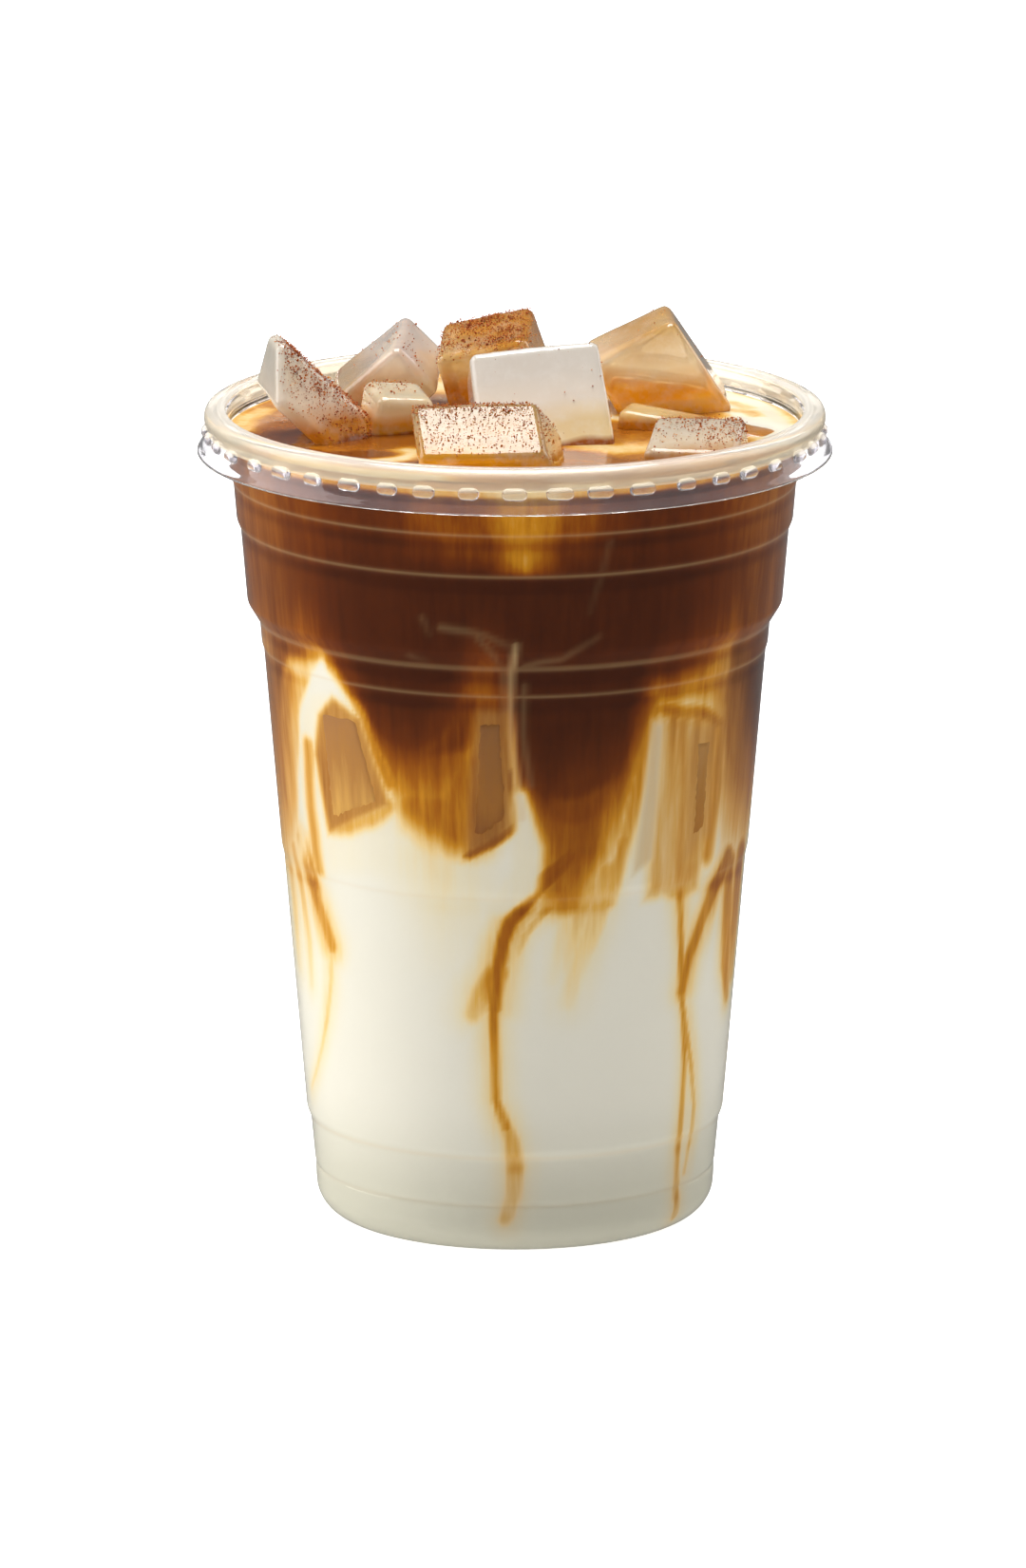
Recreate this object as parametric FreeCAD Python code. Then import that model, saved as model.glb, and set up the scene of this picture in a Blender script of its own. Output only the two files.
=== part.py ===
import FreeCAD, Part
import math
import os

# Iced latte in a clear cup: the cup, its crimped press-fit ring, two layers of drink and the ice
# that stands out of the top.  Millimetres, +Z up, origin at the centre of the foot.

Vec = FreeCAD.Vector

# ---------------------------------------------------------------- cup
WALL = 0.6                  # thickness of the clear plastic
FOOT_RADIUS = 26.3          # flat ring the cup stands on
FOOT_ROUND = 5.3            # radius of the corner between foot and side
RECESS_HEIGHT = 2.5         # pushed-up middle of the base
RECESS_RADIUS = 21.0
RECESS_OUTER = 23.5
HEEL_GROOVE_Z = 8.0         # fine line just above the foot
HEEL_GROOVE_DEPTH = 0.25
RIM_Z = 128.2               # height of the rolled rim's centre
THROAT_DROP = 2.2           # the side becomes upright this far under the rim's centre
THROAT_RADIUS = 45.9
RIM_BEAD = 1.4              # radius of the rolled rim
# (height, outer radius) of the side above the heel, for a throat at SIDE_HEIGHT; another throat
# height stretches it.  A pair 0.8 to 1.6 apart in height is a small step or rib.
SIDE_HEIGHT = 126.0
SIDE = [
    (15.6, 32.46), (17.2, 33.10),      # heel step
    (58.6, 36.62), (60.2, 37.00),      # waist rib
    (91.9, 39.70), (92.8, 40.03),      # rib under the stacking ledge
    (96.4, 40.34), (99.6, 42.30),      # stacking ledge
    (111.4, 43.30), (112.8, 43.93),    # lower shoulder rib
    (118.6, 44.42), (119.4, 44.74),    # upper shoulder rib
    (125.0, 45.30),
]

# ---------------------------------------------------------------- lid ring
RING_FIT = 0.1              # clearance between ring and rim bead
RING_LIP = 0.3              # its open middle is this much wider than the cup's mouth, in radius
RING_TOP = 0.7              # thickness of its flat top
RING_SIDE = 0.8             # thickness beside the rim
RING_SKIN = 0.5             # thickness of the skirt
RING_GROOVE = 0.5           # how far the waist under its bead goes in
SKIRT_DROP = (1.6, 3.4, 4.8)  # start, middle and lower edge of the skirt, under the rim's centre
SKIRT_FLARE = 1.2           # how far the lower edge stands out from the bead
CRIMP_COUNT = 44
CRIMP_LENGTH = 4.2
CRIMP_RADIUS = 1.1
CRIMP_INSET = 0.6           # the crimps' centres lie this far inside the bead's radius
CRIMP_DROP = 1.7            # and this far under the rim's centre

# ---------------------------------------------------------------- drink
LEVEL_DROP = 2.0            # the surface lies this far under the rim's centre
MILK_LEVEL = 44.0           # quiet top of the milk
# rounded columns of milk rising into the coffee: (angle, distance out, radius, height of the top)
PLUMES = [
    (250.0, 25.0, 9.5, 70.0), (281.0, 27.0, 8.0, 93.0), (312.0, 26.0, 9.0, 78.0),
    (345.0, 25.5, 9.0, 62.0), (22.0, 25.0, 10.0, 74.0), (63.0, 26.0, 9.0, 86.0),
    (104.0, 25.0, 10.0, 66.0), (146.0, 26.0, 9.0, 80.0), (190.0, 25.0, 10.0, 60.0),
    (222.0, 27.0, 8.0, 88.0),
]

# ---------------------------------------------------------------- ice
ICE_ROUND = 1.4             # rounding of the ice edges
# at: centre, its height over the drink's surface; turn: pitch, roll, yaw; size: along, across, tall
# top: size of the upper face over the lower; lean: how far the upper face is pushed over
ICE = {
    "ice_left": dict(at=(-28.9, -3.7, 2.7), turn=(-5.0, 44.5, 16.5), size=(21.8, 16.2, 8.4),
                     top=(1.0, 0.36), lean=(-6.2, 2.4)),
    "ice_back_left": dict(at=(-20.6, 23.6, 3.0), turn=(-73.5, 25.0, 21.5),
                          size=(10.2, 17.2, 13.8), top=(0.96, 0.96), lean=(-0.3, -0.4)),
    "ice_inner_left": dict(at=(-18.9, 2.9, 1.1), turn=(6.5, 8.0, 17.5),
                           size=(10.2, 10.5, 10.6), top=(0.9, 0.9), lean=(0.0, 0.0)),
    "ice_back": dict(at=(-2.6, 21.2, 4.8), turn=(14.0, -15.5, -9.5), size=(15.8, 14.2, 15.9),
                     top=(0.96, 0.9), lean=(-0.4, 0.1)),
    "ice_centre": dict(at=(4.1, -1.4, 3.3), turn=(-32.5, -8.5, 6.5), size=(21.2, 13.0, 18.6),
                       top=(0.98, 0.95), lean=(-0.2, 0.0)),
    "ice_front": dict(at=(-2.2, -25.3, 2.6), turn=(30.5, 5.0, 9.0), size=(23.0, 15.6, 10.4),
                      top=(0.88, 0.82), lean=(-4.3, -1.0)),
    "ice_back_right": dict(at=(23.2, 19.7, 4.9), turn=(7.5, -25.5, 3.0),
                           size=(16.7, 13.6, 18.0), top=(0.9, 0.89), lean=(-1.5, 0.2)),
    "ice_low_right": dict(at=(28.6, 1.5, -2.5), turn=(5.5, 6.0, -17.0), size=(25.2, 6.9, 9.0),
                          top=(1.0, 0.96), lean=(0.0, 0.0)),
    "ice_front_right": dict(at=(28.4, -18.0, -1.6), turn=(18.5, -4.5, -12.5),
                            size=(15.9, 13.1, 11.3), top=(0.9, 0.9), lean=(0.0, 0.2)),
}

THROAT_Z = RIM_Z - THROAT_DROP
BEAD_RADIUS = THROAT_RADIUS - WALL + RIM_BEAD     # radius of the circle that the rolled rim runs on
RING_OUTER = BEAD_RADIUS + RIM_BEAD + RING_FIT + RING_SIDE
LEVEL = RIM_Z - LEVEL_DROP


def line(a, b):
    return Part.makeLine(Vec(a[0], 0, a[1]), Vec(b[0], 0, b[1]))


def arc(a, m, b):
    return Part.Arc(Vec(a[0], 0, a[1]), Vec(m[0], 0, m[1]), Vec(b[0], 0, b[1])).toShape()


def turned(edges):
    """Solid of revolution of a closed outline drawn as radius, height."""
    face = Part.Face(Part.Wire(Part.__sortEdges__(edges)))
    return face.revolve(Vec(0, 0, 0), Vec(0, 0, 1), 360)


def outline(points):
    return [line(a, b) for a, b in zip(points, points[1:])]


def foot_arc(radius, corner, lift):
    """Quarter-round between the foot and the side: start, middle and end points."""
    k = math.sqrt(0.5)
    centre = (radius, lift + corner)
    return ((radius, lift), (centre[0] + corner * k, centre[1] - corner * k),
            (radius + corner, centre[1]))


def side_points(inset):
    """Side of the cup from the foot corner up to the throat, moved in by inset."""
    points = []
    stretch = THROAT_Z / SIDE_HEIGHT
    if inset == 0:
        low = FOOT_RADIUS + FOOT_ROUND
        slope = (SIDE[0][1] - low) / (SIDE[0][0] * stretch - FOOT_ROUND)
        here = low + slope * (HEEL_GROOVE_Z - FOOT_ROUND)
        points += [(here - 0.5 * slope, HEEL_GROOVE_Z - 0.5), (here - HEEL_GROOVE_DEPTH, HEEL_GROOVE_Z),
                   (here + 0.5 * slope, HEEL_GROOVE_Z + 0.5)]
    points += [(r - inset, z * stretch) for z, r in SIDE]
    points += [(THROAT_RADIUS - inset, THROAT_Z)]
    return points


def make_cup():
    bead_r = BEAD_RADIUS
    under = math.sqrt(RIM_BEAD ** 2 - (bead_r - THROAT_RADIUS) ** 2)
    foot = foot_arc(FOOT_RADIUS, FOOT_ROUND, 0.0)
    floor = foot_arc(FOOT_RADIUS - WALL, FOOT_ROUND, WALL)
    outside = side_points(0)
    inside = side_points(WALL)
    edges = outline([(0, RECESS_HEIGHT), (RECESS_RADIUS, RECESS_HEIGHT), (RECESS_OUTER, 0.0), foot[0]])
    edges += [arc(*foot)]
    edges += outline([foot[2]] + outside + [(THROAT_RADIUS, RIM_Z - under)])
    edges += [arc((THROAT_RADIUS, RIM_Z - under), (bead_r + RIM_BEAD, RIM_Z), (bead_r, RIM_Z + RIM_BEAD))]
    k = math.sqrt(0.5) * RIM_BEAD
    edges += [arc((bead_r, RIM_Z + RIM_BEAD), (bead_r - k, RIM_Z + k), (THROAT_RADIUS - WALL, RIM_Z))]
    edges += outline([(THROAT_RADIUS - WALL, RIM_Z)] + inside[::-1] + [floor[2]])
    edges += [arc(floor[2], floor[1], floor[0])]
    edges += outline([floor[0], (RECESS_OUTER, WALL), (RECESS_RADIUS, RECESS_HEIGHT + WALL),
                      (0, RECESS_HEIGHT + WALL), (0, RECESS_HEIGHT)])
    return turned(edges)


def make_room(level):
    """Everything inside the cup up to a level."""
    floor = foot_arc(FOOT_RADIUS - WALL, FOOT_ROUND, WALL)
    edges = outline([(0, RECESS_HEIGHT + WALL), (RECESS_RADIUS, RECESS_HEIGHT + WALL),
                     (RECESS_OUTER, WALL), floor[0]])
    edges += [arc(*floor)]
    edges += outline([floor[2]] + side_points(WALL) + [(THROAT_RADIUS - WALL, level), (0, level),
                                                      (0, RECESS_HEIGHT + WALL)])
    return turned(edges)


def make_ring():
    inner = BEAD_RADIUS + RIM_BEAD + RING_FIT
    mouth = THROAT_RADIUS - WALL + RING_LIP
    under = RIM_Z + RIM_BEAD + RING_FIT
    top = under + RING_TOP
    high, mid, low = [RIM_Z - d for d in SKIRT_DROP]
    edge = RING_OUTER + SKIRT_FLARE
    points = [
        (mouth, under), (mouth, top - 0.2), (mouth + 0.25, top), (RING_OUTER - 0.9, top),
        (RING_OUTER - 0.3, top - 0.3), (RING_OUTER, top - 1.0), (RING_OUTER, top - 2.0),
        (RING_OUTER - RING_GROOVE, top - 3.1), (RING_OUTER - 0.3, high),
        (RING_OUTER + 0.3, mid), (edge - 0.2, low + 0.5), (edge, low),
        (edge - RING_SKIN - 0.1, low), (RING_OUTER + 0.3 - RING_SKIN, mid + 0.2),
        (inner, high + 0.3), (inner, under - 0.7), (inner - 0.7, under), (mouth, under),
    ]
    ring = turned(outline(points))
    pitch = 360.0 / CRIMP_COUNT
    half = CRIMP_LENGTH / 2 - CRIMP_RADIUS
    out = RING_OUTER - CRIMP_INSET
    height = RIM_Z - CRIMP_DROP
    room = Part.makeCylinder(inner + 0.05, 20, Vec(0, 0, height - 10))
    crimps = []
    for i in range(CRIMP_COUNT):
        bar = Part.makeCylinder(CRIMP_RADIUS, 2 * half, Vec(out, -half, height), Vec(0, 1, 0))
        bar = bar.fuse(Part.makeSphere(CRIMP_RADIUS, Vec(out, -half, height)))
        bar = bar.fuse(Part.makeSphere(CRIMP_RADIUS, Vec(out, half, height))).cut(room)
        bar.rotate(Vec(0, 0, 0), Vec(0, 0, 1), i * pitch)
        crimps.append(bar)
    return ring.fuse(crimps)


def ice_block(at, turn, size, top, lean):
    """Moulded block with a slightly smaller upper face, rounded all over."""
    length, width, height = size
    corners = []
    for z, kx, ky, dx, dy in ((-height / 2, 1, 1, 0, 0), (height / 2, top[0], top[1], lean[0], lean[1])):
        corners.append([Vec(sx * length / 2 * kx + dx, sy * width / 2 * ky + dy, z)
                        for sx, sy in ((-1, -1), (1, -1), (1, 1), (-1, 1))])
    low, high = corners
    quads = [low[::-1], high]
    quads += [[low[i], low[(i + 1) % 4], high[(i + 1) % 4], high[i]] for i in range(4)]
    shell = Part.makeShell([Part.Face(Part.makePolygon(q + [q[0]])) for q in quads])
    shell.sewShape()
    block = Part.makeSolid(shell)
    block = block.makeFillet(ICE_ROUND, block.Edges)
    block.rotate(Vec(0, 0, 0), Vec(0, 0, 1), turn[2])
    block.rotate(Vec(0, 0, 0), Vec(1, 0, 0), turn[0])
    block.rotate(Vec(0, 0, 0), Vec(0, 1, 0), turn[1])
    block.translate(Vec(*at) + Vec(0, 0, LEVEL))
    return block


def make_milk(room):
    pool = Part.makeCylinder(60, MILK_LEVEL)
    columns = []
    for angle, out, radius, height in PLUMES:
        a = math.radians(angle)
        foot = Vec(out * math.cos(a), out * math.sin(a), MILK_LEVEL / 2)
        tall = height - radius - foot.z
        column = Part.makeCylinder(radius, tall, foot)
        columns.append(column.fuse(Part.makeSphere(radius, foot + Vec(0, 0, tall))))
    return room.common(pool.fuse(columns))


os.makedirs("parts", exist_ok=True)

cup = make_cup()
cup.exportStep("parts/cup.step")
make_ring().exportStep("parts/lid_ring.step")

blocks = {name: ice_block(**spec) for name, spec in ICE.items()}
for name, block in blocks.items():
    block.exportStep("parts/%s.step" % name)

room = make_room(LEVEL)
milk = make_milk(room)
milk.exportStep("parts/milk.step")
coffee = room.cut(milk).cut(list(blocks.values()))
coffee.exportStep("parts/coffee.step")

for name, shape in [("cup", cup), ("milk", milk), ("coffee", coffee)] + sorted(blocks.items()):
    box = shape.BoundBox
    print("%-16s solids %d valid %s  %.1f cm3  z %.1f to %.1f" % (
        name, len(shape.Solids), shape.isValid(), shape.Volume / 1000, box.ZMin, box.ZMax))
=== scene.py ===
# %% [markdown]
# # An iced latte in a clear cup
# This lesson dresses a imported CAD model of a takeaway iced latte.  The CAD gives the sizes: the cup, the
# press-fit ring, two layers of drink and the ice that stands out of the top.  Here every surface gets its
# finish, and the drink gets what can't be a CAD solid: streaks of milk, ice under the surface and spice
# dust.

# %% Open the frame
import math
import random

import bmesh
import bpy
import numpy as np
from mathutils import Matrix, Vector, noise


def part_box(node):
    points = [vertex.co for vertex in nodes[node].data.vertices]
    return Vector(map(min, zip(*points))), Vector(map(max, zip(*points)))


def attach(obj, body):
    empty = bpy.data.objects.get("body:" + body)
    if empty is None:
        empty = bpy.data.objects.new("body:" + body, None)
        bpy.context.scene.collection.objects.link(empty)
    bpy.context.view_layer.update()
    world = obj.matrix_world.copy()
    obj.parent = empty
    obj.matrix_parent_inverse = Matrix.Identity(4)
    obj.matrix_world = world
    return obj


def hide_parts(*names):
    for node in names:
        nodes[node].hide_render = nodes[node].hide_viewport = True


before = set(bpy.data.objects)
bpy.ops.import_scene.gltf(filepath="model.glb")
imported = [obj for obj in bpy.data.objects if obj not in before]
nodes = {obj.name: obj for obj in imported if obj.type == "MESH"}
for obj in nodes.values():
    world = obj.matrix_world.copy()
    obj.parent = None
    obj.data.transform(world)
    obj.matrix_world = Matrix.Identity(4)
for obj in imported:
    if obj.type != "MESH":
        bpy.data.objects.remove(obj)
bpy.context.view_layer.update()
MM = 0.001
cup_low, cup_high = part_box("cup")
ring_low, ring_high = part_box("lid_ring")
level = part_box("coffee")[1][2]
print("cup height %.1f mm, rim %.1f mm wide, drink up to %.1f mm" % (
    cup_high[2] / MM, (cup_high[0] - cup_low[0]) / MM, level / MM))

# %% [markdown]
# ## Outlines that are turned
# A thermoformed cup, its ring and the liquid inside are all round, so each is one outline turned about the
# upright axis.  Sharp corners of an outline are first eased into short curves, because the thin highlights
# along a cup's ribs come from those curves, and long stretches are cut up so that the finish has enough
# vertices to follow.

# %% Helpers for turned shapes
TURN_STEPS = 256


def eased(points, radius, cuts=4):
    """Rounds the corners of an open outline with short curves of about this radius."""
    out = [points[0]]
    for before, here, after in zip(points, points[1:], points[2:]):
        a, b, c = Vector(before), Vector(here), Vector(after)
        back = min(radius, (a - b).length * 0.45)
        ahead = min(radius, (c - b).length * 0.45)
        start = b + (a - b).normalized() * back
        end = b + (c - b).normalized() * ahead
        for i in range(cuts + 1):
            t = i / cuts
            p = start * (1 - t) ** 2 + b * 2 * t * (1 - t) + end * t ** 2
            out.append((p.x, p.y))
    out.append(points[-1])
    return out


def spaced(points, pitch):
    """Cuts up every stretch that is longer than pitch."""
    out = [points[0]]
    for a, b in zip(points, points[1:]):
        n = max(1, math.ceil(math.dist(a, b) / pitch))
        out += [(a[0] + (b[0] - a[0]) * i / n, a[1] + (b[1] - a[1]) * i / n) for i in range(1, n + 1)]
    return out


def turned(outline, steps=TURN_STEPS):
    """A bmesh of an outline (radius, height) in metres, turned about Z."""
    bm = bmesh.new()
    verts = [bm.verts.new((r, 0, z)) for r, z in outline]
    edges = [bm.edges.new(pair) for pair in zip(verts, verts[1:])]
    bmesh.ops.spin(bm, geom=verts + edges, cent=(0, 0, 0), axis=(0, 0, 1), angle=2 * math.pi,
                   steps=steps, use_merge=True)
    bmesh.ops.remove_doubles(bm, verts=bm.verts, dist=1e-6)
    bmesh.ops.recalc_face_normals(bm, faces=bm.faces)
    return bm


def finished(name, bm, material):
    """Makes a bmesh an object that rides on the CAD body."""
    for face in bm.faces:
        face.smooth = True
    mesh = bpy.data.meshes.new(name)
    bm.to_mesh(mesh)
    bm.free()
    piece = bpy.data.objects.new(name, mesh)
    bpy.context.collection.objects.link(piece)
    if material:
        mesh.materials.append(material)
    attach(piece, "root")
    print("%-18s %6d faces" % (name, len(mesh.polygons)))
    return piece


# %% [markdown]
# ## Node helpers
# Materials are built in code: a few one-line helpers keep each recipe short enough to read like a recipe.

# %% Helpers for materials
def add_node(tree, kind, **values):
    """Adds a node; plain names set its properties, and numbers or text in `inputs` set its sockets."""
    node = tree.nodes.new(kind)
    inputs = values.pop("inputs", {})
    for key, value in values.items():
        setattr(node, key, value)
    for key, value in inputs.items():
        if isinstance(value, bpy.types.NodeSocket):
            tree.links.new(value, node.inputs[key])
        else:
            node.inputs[key].default_value = value
    return node


def linear(hex_colour):
    """A colour written as six hex digits, as the linear values that shaders use."""
    srgb = [int(hex_colour[i:i + 2], 16) / 255 for i in (0, 2, 4)]
    return tuple(c / 12.92 if c <= 0.04045 else ((c + 0.055) / 1.055) ** 2.4 for c in srgb) + (1.0,)


def ramp(tree, factor, stops):
    """A colour ramp with stops of (place, hex colour)."""
    node = add_node(tree, "ShaderNodeValToRGB", inputs={"Fac": factor})
    elements = node.color_ramp.elements
    while len(elements) > 1:
        elements.remove(elements[-1])
    elements[0].position, elements[0].color = stops[0][0], linear(stops[0][1])
    for place, colour in stops[1:]:
        elements.new(place).color = linear(colour)
    return node.outputs["Color"]


def mixed(tree, factor, a, b, blend="MIX"):
    """Mixes two colours."""
    node = add_node(tree, "ShaderNodeMix", data_type="RGBA", blend_type=blend)
    for key, value in ((0, factor), (6, a), (7, b)):
        if isinstance(value, bpy.types.NodeSocket):
            tree.links.new(value, node.inputs[key])
        else:
            node.inputs[key].default_value = value
    return node.outputs[2]


def math_node(tree, operation, a, b=0.0, clamp=False):
    """One sum; a and b are sockets or numbers."""
    node = add_node(tree, "ShaderNodeMath", operation=operation, use_clamp=clamp)
    for key, value in ((0, a), (1, b)):
        if isinstance(value, bpy.types.NodeSocket):
            tree.links.new(value, node.inputs[key])
        else:
            node.inputs[key].default_value = value
    return node.outputs[0]


def new_material(name):
    """An empty material with its Principled shader and output."""
    material = bpy.data.materials.new(name)
    material.use_nodes = True
    tree = material.node_tree
    tree.nodes.clear()
    shader = add_node(tree, "ShaderNodeBsdfPrincipled")
    output = add_node(tree, "ShaderNodeOutputMaterial", inputs={"Surface": shader.outputs[0]})
    return material, tree, shader, output


def clear_to_shadows(tree, shader, output):
    """Lets lamp light through a clear shell: shadow rays see it as transparent."""
    path = add_node(tree, "ShaderNodeLightPath")
    through = add_node(tree, "ShaderNodeBsdfTransparent")
    mix = add_node(tree, "ShaderNodeMixShader", inputs={0: path.outputs["Is Shadow Ray"]})
    tree.links.new(shader.outputs[0], mix.inputs[1])
    tree.links.new(through.outputs[0], mix.inputs[2])
    tree.links.new(mix.outputs[0], output.inputs["Surface"])


# %% [markdown]
# ## The clear cup
# The real cup is thin clear plastic drawn over a mould, with small ribs that stiffen it, a ledge for
# stacking and a rolled rim.  Glass would do as a material, but its full bending of light makes the drink
# behind it swim, so the wall is a true shell and the drink reaches just into it, as a wetting liquid looks.

# %% Cup outline
WALL = 0.6 * MM
FOOT_RADIUS, FOOT_ROUND = 26.3 * MM, 5.3 * MM
RECESS_RADIUS, RECESS_OUTER, RECESS_HEIGHT = 21.0 * MM, 23.5 * MM, 2.5 * MM
RIM_BEAD = 1.4 * MM
rim_centre = (cup_high[0] - RIM_BEAD, cup_high[2] - RIM_BEAD)
RIM_WIDTH = 2.2 * MM
THROAT_HEIGHT = 126.0 * MM
EASE = 0.5 * MM
throat = cup_high[0] - RIM_WIDTH
# (height, radius) in millimetres: heel step, waist rib, two shoulder ribs and the stacking ledge between
SIDE = [(15.6, 32.46), (17.2, 33.10), (58.6, 36.62), (60.2, 37.00), (91.9, 39.70), (92.8, 40.03),
        (96.4, 40.34), (99.6, 42.30), (111.4, 43.30), (112.8, 43.93), (118.6, 44.42), (119.4, 44.74),
        (125.0, 45.30)]


def foot_curve(inset, lift):
    """Rounded corner between foot and side."""
    radius = FOOT_RADIUS - inset
    angles = [math.radians(-90 + 90 * i / 8) for i in range(9)]
    return [(radius + FOOT_ROUND * math.cos(a), lift + FOOT_ROUND + FOOT_ROUND * math.sin(a)) for a in angles]


def side_line(inset, groove):
    """Side of the cup, moved in by inset, with the fine groove over the foot if asked."""
    line = [(31.70 * MM - inset, 7.5 * MM), (31.50 * MM - inset, 8.0 * MM), (31.80 * MM - inset, 8.5 * MM)]
    line = line if groove else []
    line += [(r * MM - inset, z * MM) for z, r in SIDE]
    return line + [(throat - inset, THROAT_HEIGHT)]


def inside_radius(height):
    """Radius of the inner wall at a height in metres; height may be an array."""
    heights = [FOOT_ROUND] + [z * MM for z, r in SIDE] + [THROAT_HEIGHT, cup_high[2]]
    radii = [FOOT_RADIUS + FOOT_ROUND] + [r * MM for z, r in SIDE] + [throat, throat]
    return np.interp(height, heights, radii) - WALL


bead = [(rim_centre[0] + RIM_BEAD * math.cos(a), rim_centre[1] + RIM_BEAD * math.sin(a))
        for a in [math.radians(-125 + 305 * i / 22) for i in range(23)]]
outside = [(0, RECESS_HEIGHT), (RECESS_RADIUS, RECESS_HEIGHT), (RECESS_OUTER, 0)] + foot_curve(0, 0)
outside = eased(outside + side_line(0, True) + [bead[0]], EASE, 3)
inside = foot_curve(WALL, WALL) + side_line(WALL, False) + [(throat - WALL, 127.0 * MM)]
inside = [(0, RECESS_HEIGHT + WALL), (RECESS_RADIUS, RECESS_HEIGHT + WALL), (RECESS_OUTER, WALL)] + inside
cup_outline = outside + bead[1:] + eased(inside, EASE, 3)[::-1]
print("cup outline has %d points" % len(cup_outline))

# %% [markdown]
# ## Clear plastic
# Thin moulded sheet is clear, glossy and never quite flat, so highlights on it waver.  A clean glass shader
# would look like a thick tumbler; a little bump from slow noise and a low bending value give the look of
# thin sheet. The same recipe makes the ring, only milkier where the sheet is thicker.

# %% Clear plastic
def clear_plastic(name, tint, roughness, bump, bending, clearness):
    """Clear moulded plastic with a faint waviness; clearness below 1 makes it milky."""
    material, tree, shader, output = new_material(name)
    shader.inputs["Base Color"].default_value = linear(tint)
    shader.inputs["Transmission Weight"].default_value = clearness
    shader.inputs["Roughness"].default_value = roughness
    shader.inputs["IOR"].default_value = bending
    place = add_node(tree, "ShaderNodeTexCoord")
    waves = add_node(tree, "ShaderNodeTexNoise", inputs={
        "Vector": place.outputs["Object"], "Scale": 90.0, "Detail": 1.0})
    relief = add_node(tree, "ShaderNodeBump", inputs={
        "Height": waves.outputs[0], "Strength": bump, "Distance": 0.0006})
    tree.links.new(relief.outputs[0], shader.inputs["Normal"])
    clear_to_shadows(tree, shader, output)
    return material


cup = finished("clear_cup", turned(cup_outline),
               clear_plastic("Clear cup plastic", "fdfdfc", 0.02, 0.25, 1.28, 1.0))
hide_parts("cup")

# %% [markdown]
# ## The crimped ring
# The ring is what is left of a press-fit lid with an open middle: a flat top over the rim, a rounded bead,
# a waist and a flared skirt with a row of small crimps pressed outwards.  The ring is turned, and each
# crimp is a rounded bar set in the waist, a few dozen faces, no two quite alike.  The sheet is clearest in
# the skirt, a little hazy on the flat top and milky in the bead, where the rim lies close behind.

# %% Ring
SKIRT_FLARE = 1.2 * MM
RING_SHEET = 0.7 * MM
SLEEVE_SHEET = 0.8 * MM
ring_outer = ring_high[0] - SKIRT_FLARE
ring_top = ring_high[2]
skirt_low = ring_low[2]
under = ring_top - RING_SHEET
mouth = throat - WALL + 0.3 * MM
sleeve = ring_outer - SLEEVE_SHEET
# (radius, height): over the top, down the bead and skirt, back up inside
ring_outline = [
    (mouth, under), (mouth, ring_top - 0.2 * MM), (mouth + 0.25 * MM, ring_top),
    (mouth + 0.9 * MM, ring_top), (mouth + 1.3 * MM, ring_top - 0.3 * MM), (mouth + 1.7 * MM, ring_top),
    (ring_outer - 0.9 * MM, ring_top), (ring_outer - 0.3 * MM, ring_top - 0.3 * MM),
    (ring_outer, ring_top - 1.0 * MM), (ring_outer, ring_top - 2.0 * MM),
    (ring_outer - 0.5 * MM, ring_top - 3.1 * MM), (ring_outer - 0.3 * MM, ring_top - 3.8 * MM),
    (ring_outer + 0.3 * MM, ring_top - 5.6 * MM), (ring_outer + 1.0 * MM, skirt_low + 0.5 * MM),
    (ring_outer + 1.2 * MM, skirt_low), (ring_outer + 0.6 * MM, skirt_low),
    (ring_outer - 0.2 * MM, ring_top - 5.4 * MM), (sleeve, ring_top - 3.5 * MM),
    (sleeve, under - 0.7 * MM), (sleeve - 0.7 * MM, under), (mouth, under)]
ring_shape = turned(spaced(eased(ring_outline, 0.35 * MM, 3), 1.0 * MM))
CRIMPS = 44
CRIMP_LENGTH, CRIMP_RADIUS, CRIMP_DROP = 4.0 * MM, 1.1 * MM, 3.9 * MM
uneven = random.Random(11)
for i in range(CRIMPS):
    stretch = uneven.uniform(-0.7, 0.5) * MM
    sink = uneven.uniform(0.55, 0.85) * MM
    bar = bmesh.ops.create_uvsphere(ring_shape, u_segments=10, v_segments=8, radius=CRIMP_RADIUS)["verts"]
    for vert in bar:
        vert.co = (vert.co.x, vert.co.z, vert.co.y)
        vert.co.y += math.copysign((CRIMP_LENGTH + stretch) / 2 - CRIMP_RADIUS, vert.co.y)
        vert.co.x = max(vert.co.x, -0.1 * MM)
    bmesh.ops.translate(ring_shape, verts=bar, vec=(ring_outer - sink, 0, ring_top - CRIMP_DROP))
    turn = math.radians(360 / CRIMPS * (i + uneven.uniform(-0.09, 0.09)))
    for vert in bar:
        x, y = vert.co.x, vert.co.y
        vert.co.x = x * math.cos(turn) - y * math.sin(turn)
        vert.co.y = x * math.sin(turn) + y * math.cos(turn)
bmesh.ops.recalc_face_normals(ring_shape, faces=ring_shape.faces)
# heights that part the skirt, the bead and the flat top
BEAD_LOW, FLAT_LOW = ring_top - 3.5 * MM, ring_top - 0.5 * MM
ring = finished("crimped_ring", ring_shape,
                clear_plastic("Ring skirt plastic", "f1eff2", 0.04, 0.3, 1.4, 0.95))
ring.data.materials.append(clear_plastic("Ring bead plastic", "fdf4e2", 0.05, 0.3, 1.38, 0.62))
ring.data.materials.append(clear_plastic("Ring top plastic", "eff0f2", 0.03, 0.3, 1.42, 0.86))
for face in ring.data.polygons:
    face.material_index = 2 if face.center.z > FLAT_LOW else 1 if face.center.z > BEAD_LOW else 0
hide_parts("lid_ring")

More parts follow.
